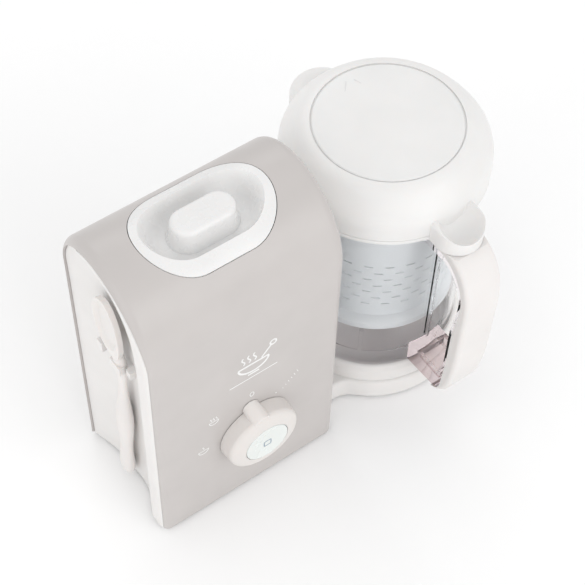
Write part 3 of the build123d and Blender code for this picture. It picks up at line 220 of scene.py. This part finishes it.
def rubber(name, colour, rough=0.7):
    t = Tree(name)
    dust = t.spread(t.noise(180, 5, 0.7), 0.0, 0.35)
    t.link(t.mix(dust, colour, shade(colour, 1.8)), "Base Color")
    t.link(t.spread(t.noise(300, 3), rough - 0.08, rough + 0.1), "Roughness")
    t.bump([(t.noise(1500, 3, 0.6), 2e-5)])
    return t.material


MATERIALS = {
    "shell_taupe": moulded_plastic("shell_taupe", (0.545, 0.515, 0.50), rough=0.34),
    "white_panel": moulded_plastic("white_panel", (0.80, 0.78, 0.765), rough=0.4, subsurface=0.1),
    "white_gloss": moulded_plastic(
        "white_gloss",
        (0.79, 0.785, 0.78),
        rough=0.27,
        grain=5e-6,
        subsurface=0.1,
    ),
    "lid_white": moulded_plastic("lid_white", (0.80, 0.79, 0.78), rough=0.42, subsurface=0.15),
    "grip_white": moulded_plastic("grip_white", (0.775, 0.75, 0.735), rough=0.4, subsurface=0.1),
    "dial_white": moulded_plastic("dial_white", (0.74, 0.705, 0.68), rough=0.38, subsurface=0.1),
    "button_ice": moulded_plastic("button_ice", (0.77, 0.80, 0.78), rough=0.25, grain=4e-6, subsurface=0.1),
    "spatula_white": moulded_plastic("spatula_white", (0.80, 0.77, 0.75), rough=0.4, subsurface=0.2),
    # Each clear plastic's second colour is painted shade at the jug's foot, and the smoky frame's is the
    # darkest.
    "clear_bowl": clear_plastic("clear_bowl", (0.998, 0.996, 0.998, 1), (0.995, 0.975, 0.98, 1)),
    "smoky_frame": clear_plastic("smoky_frame", (0.93, 0.90, 0.91, 1), (0.74, 0.64, 0.65, 1)),
    "basket_blue": clear_plastic(
        "basket_blue",
        (0.93, 0.955, 0.97, 1),
        (0.92, 0.92, 0.93, 1),
        rough=0.3,
        weight=0.35,
        shadow=(0.94, 0.96, 0.98, 1),
    ),
    "base_grey": moulded_plastic("base_grey", (0.36, 0.355, 0.35), rough=0.55, grain=3e-5),
    "inner_nylon": moulded_plastic("inner_nylon", (0.66, 0.62, 0.55), rough=0.5),
    "thermostat_black": moulded_plastic("thermostat_black", (0.02, 0.02, 0.022), rough=0.5, mottle=0.1),
    "board_green": moulded_plastic("board_green", (0.02, 0.12, 0.05), rough=0.35, mottle=0.15),
    "rubber_dark": rubber("rubber_dark", (0.025, 0.025, 0.025, 1)),
    "silicone": moulded_plastic("silicone", (0.78, 0.79, 0.78), rough=0.5, subsurface=0.3),
    "screw_steel": brushed_metal("screw_steel", (0.5, 0.5, 0.51), 0.35, turned=True),
    "boiler_steel": brushed_metal("boiler_steel", (0.6, 0.6, 0.6), 0.32, turned=True),
    "blade_steel": brushed_metal("blade_steel", (0.66, 0.66, 0.67), 0.24),
    "motor_can": brushed_metal("motor_can", (0.32, 0.32, 0.34), 0.45, turned=True),
    "heater_aluminium": brushed_metal("heater_aluminium", (0.62, 0.62, 0.63), 0.45),
    "bush_brass": brushed_metal("bush_brass", (0.60, 0.42, 0.18), 0.4, turned=True),
}
PRINT_WHITE = moulded_plastic("print_white", (0.86, 0.86, 0.855), rough=0.5, grain=4e-6, mottle=0.03)
PRINT_GREY = moulded_plastic("print_grey", (0.70, 0.69, 0.69), rough=0.5, grain=4e-6, mottle=0.05)
PRINT_BLUE = moulded_plastic("print_blue", (0.26, 0.33, 0.40), rough=0.45, grain=4e-6, mottle=0.05)
SMOOTH_ANGLE = math.radians(28)


def soften(mesh):
    """Smooth shading with sharp edges where two faces meet at more than the smooth angle."""
    work = bmesh.new()
    work.from_mesh(mesh)
    sharp = []
    for edge in work.edges:
        meets = len(edge.link_faces) == 2
        sharp.append(not meets or edge.calc_face_angle(0.0) > SMOOTH_ANGLE)
    work.free()
    mesh.shade_smooth()
    for edge, is_sharp in zip(mesh.edges, sharp):
        edge.use_edge_sharp = is_sharp


for entry in frame["record"]["subparts"]:
    mesh = nodes[entry["node"]].data
    mesh.materials.clear()
    mesh.materials.append(MATERIALS[entry["material_slot"]])
    soften(mesh)


# ---------------------------------------------------------------- printed marks
INK = 0.00010
INK_STEP = 0.000004


class Print:
    """Thin raised ink on a flat face: places are in metres from the face's origin along two axes."""

    def __init__(self, name, origin, across, up, material):
        self.name = name
        self.origin = Vector(origin)
        self.across = Vector(across)
        self.up = Vector(up)
        self.out = self.across.cross(self.up)
        self.material = material
        self.work = bmesh.new()
        self.height = INK

    def place(self, a, b, lift):
        return self.work.verts.new(self.origin + a * self.across + b * self.up + lift * self.out)

    def dot(self, a, b, radius):
        """A round flat dot."""
        self.height += INK_STEP
        outline = [(a + radius * math.cos(t), b + radius * math.sin(t)) for t in turns(0, 360, 20)[:-1]]
        below = [self.place(*point, -INK) for point in outline]
        above = [self.place(*point, self.height) for point in outline]
        self.work.faces.new(above)
        self.work.faces.new(list(reversed(below)))
        for i in range(len(outline)):
            j = (i + 1) % len(outline)
            self.work.faces.new((below[i], below[j], above[j], above[i]))

    def stroke(self, points, width, closed=False):
        """One ribbon of even width along points, each ribbon a hair higher than the one before."""
        self.height += INK_STEP
        count = len(points)
        rows = []
        for i, (a, b) in enumerate(points):
            a0, b0 = points[i - 1] if closed or i else points[i]
            a1, b1 = points[(i + 1) % count] if closed or i < count - 1 else points[i]
            length = math.hypot(a1 - a0, b1 - b0)
            na = -(b1 - b0) / length * width / 2
            nb = (a1 - a0) / length * width / 2
            sides = ((a - na, b - nb), (a + na, b + nb))
            corners = ((sides[0], -INK), (sides[1], -INK), (sides[1], self.height), (sides[0], self.height))
            rows.append([self.place(*side, lift) for side, lift in corners])
        for i in range(count if closed else count - 1):
            here, there = rows[i], rows[(i + 1) % count]
            for k in range(4):
                n = (k + 1) % 4
                self.work.faces.new((here[k], there[k], there[n], here[n]))
        if not closed:
            self.work.faces.new(rows[0])
            self.work.faces.new(list(reversed(rows[-1])))

    def finish(self, body):
        bmesh.ops.recalc_face_normals(self.work, faces=self.work.faces)
        mesh = bpy.data.meshes.new(self.name)
        self.work.to_mesh(mesh)
        self.work.free()
        mesh.materials.append(self.material)
        piece = bpy.data.objects.new(self.name, mesh)
        scene.collection.objects.link(piece)
        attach(piece, body)


def turns(start, end, count):
    """Angles in radians from start to end in degrees."""
    return [math.radians(start + (end - start) * i / count) for i in range(count + 1)]


def arc(a, b, radius_a, radius_b, start, end, count=16):
    return [(a + radius_a * math.cos(t), b + radius_b * math.sin(t)) for t in turns(start, end, count)]


def wave(a, b, tall, swing=0.0006, steps=8):
    """A curl of steam standing on (a, b)."""
    return [(a + swing * math.sin(i / steps * 2 * math.pi), b + tall * i / steps) for i in range(steps + 1)]


# The shell's front face lies this far behind the front of the whole object.
FRONT_SETBACK = 0.050
FRONT_Y = cad_low.y + FRONT_SETBACK
FRONT = {"origin": (0, FRONT_Y, 0), "across": (1, 0, 0), "up": (0, 0, 1)}
FINE = 0.0005
LINE = 0.0006
TICKS = 6


def make_front_marks():
    """The off mark above the dial, two pictograms to its left and rising ticks to its right."""
    marks = Print("front_marks", material=PRINT_WHITE, **FRONT)
    marks.stroke(arc(-0.0748, 0.1196, 0.0016, 0.0023, 0, 345, 20), LINE, closed=True)
    marks.stroke(arc(-0.1054, 0.1130, 0.0036, 0.0034, 180, 360), LINE)
    marks.stroke([(-0.1094, 0.1132), (-0.1014, 0.1132)], LINE)
    for shift in (-0.0022, 0.0, 0.0022):
        marks.stroke(wave(-0.1054 + shift, 0.1146, 0.0032), FINE)
    marks.stroke(arc(-0.1146, 0.0828, 0.0040, 0.0036, 180, 360), LINE)
    marks.stroke([(-0.1190, 0.0830), (-0.1102, 0.0830)], LINE)
    marks.stroke(wave(-0.1146, 0.0846, 0.0032), FINE)
    marks.dot(-0.0550, 0.1029, 0.0006)
    for i in range(TICKS):
        part = i / (TICKS - 1)
        a = -0.0491 + part * 0.0122
        b = 0.1034 + part * 0.0106
        size = 0.0006 + 0.0013 * part
        marks.stroke([(a, b), (a - size * 0.6, b + size * 1.6)], FINE)
    marks.finish("root")


def make_emblem():
    """A bowl with a spoon and three curls of steam, over a thin rule."""
    emblem = Print("front_emblem", material=PRINT_WHITE, **FRONT)
    a, b = -0.0735, 0.1570
    emblem.stroke(arc(a, b, 0.0120, 0.0088, 180, 360, 24), 0.0016, closed=True)
    emblem.stroke([(a - 0.0044, b - 0.0112), (a + 0.0044, b - 0.0112)], 0.0014)
    emblem.stroke([(a + 0.0062, b + 0.0012), (a + 0.0138, b + 0.0100)], 0.0014)
    emblem.stroke(arc(a + 0.0154, b + 0.0120, 0.0024, 0.0024, 0, 342, 19), 0.0013, closed=True)
    for shift in (-0.0080, -0.0035, 0.0010):
        emblem.stroke(wave(a + shift, b + 0.0034, 0.0085, 0.0011, 12), 0.0011)
    emblem.stroke([(a - 0.0190, b - 0.0158), (a + 0.0190, b - 0.0158)], 0.0008)
    emblem.finish("root")


def make_button_mark():
    low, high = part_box("centre_button")
    middle = (low + high) / 2
    mark = Print("button_mark", (middle.x, low.y, middle.z), (1, 0, 0), (0, 0, 1), PRINT_BLUE)
    half, corner = 0.0019, 0.0009
    outline = []
    for ca, cb, start in ((half, half, 0), (-half, half, 90), (-half, -half, 180), (half, -half, 270)):
        outline += arc(ca, cb, corner, corner, start, start + 90, 5)
    mark.stroke(outline, 0.0008, closed=True)
    mark.finish("centre_button")


# The marks lie this far above the lowest edge of the lid's disc.
LID_MARK_LIFT = 0.00175


def make_lid_marks():
    """Two small arrow lines beside the spout on the lid's top disc."""
    low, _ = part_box("lid_disc")
    mark = Print("lid_marks", (0, 0, low.z + LID_MARK_LIFT), (1, 0, 0), (0, 1, 0), PRINT_GREY)
    for start, end in (((0.0763, 0.0577), (0.0704, 0.0508)), ((0.0819, 0.0561), (0.0836, 0.0505))):
        mark.stroke([start, end], LINE)
    mark.finish("jug_lid")


make_front_marks()
make_emblem()
make_button_mark()
make_lid_marks()

# ---------------------------------------------------------------- floor and light
FLOOR_SIZE = 8.0
FLOOR_GAP = 0.0002
STUDIO_BRIGHTNESS = 0.90


def make_floor():
    mesh = bpy.data.meshes.new("floor")
    half = FLOOR_SIZE / 2
    corners = [(-half, -half, 0), (half, -half, 0), (half, half, 0), (-half, half, 0)]
    mesh.from_pydata(corners, [], [(0, 1, 2, 3)])
    floor = bpy.data.objects.new("floor", mesh)
    scene.collection.objects.link(floor)
    t = Tree("floor_paper")
    t.link(t.mix(t.spread(t.noise(3, 3), 0, 1), (0.96, 0.96, 0.96, 1), (0.98, 0.98, 0.98, 1)), "Base Color")
    t.set(Roughness=0.9)
    mesh.materials.append(t.material)
    floor.location.z = cad_low.z - FLOOR_GAP


def area_light(name, place, target, size, power):
    data = bpy.data.lights.new(name, "AREA")
    data.shape = "RECTANGLE"
    data.size, data.size_y = size
    data.energy = power
    light = bpy.data.objects.new(name, data)
    light.location = place
    light.rotation_euler = (Vector(target) - Vector(place)).to_track_quat("-Z", "Y").to_euler()
    scene.collection.objects.link(light)


make_floor()
world = bpy.data.worlds.new("studio")
scene.world = world
world.use_nodes = True
background = world.node_tree.nodes["Background"]
background.inputs["Color"].default_value = (1.0, 1.0, 1.0, 1)
background.inputs["Strength"].default_value = STUDIO_BRIGHTNESS
area_light("front_soft", (0.25, -1.7, 1.1), (0, 0, 0.12), (1.6, 1.2), 8.5)
area_light("left_soft", (-1.5, -0.3, 0.9), (0, 0, 0.12), (0.9, 1.2), 3)
area_light("back_rim", (0.4, 1.3, 1.3), (0, 0, 0.15), (1.0, 0.8), 2.5)
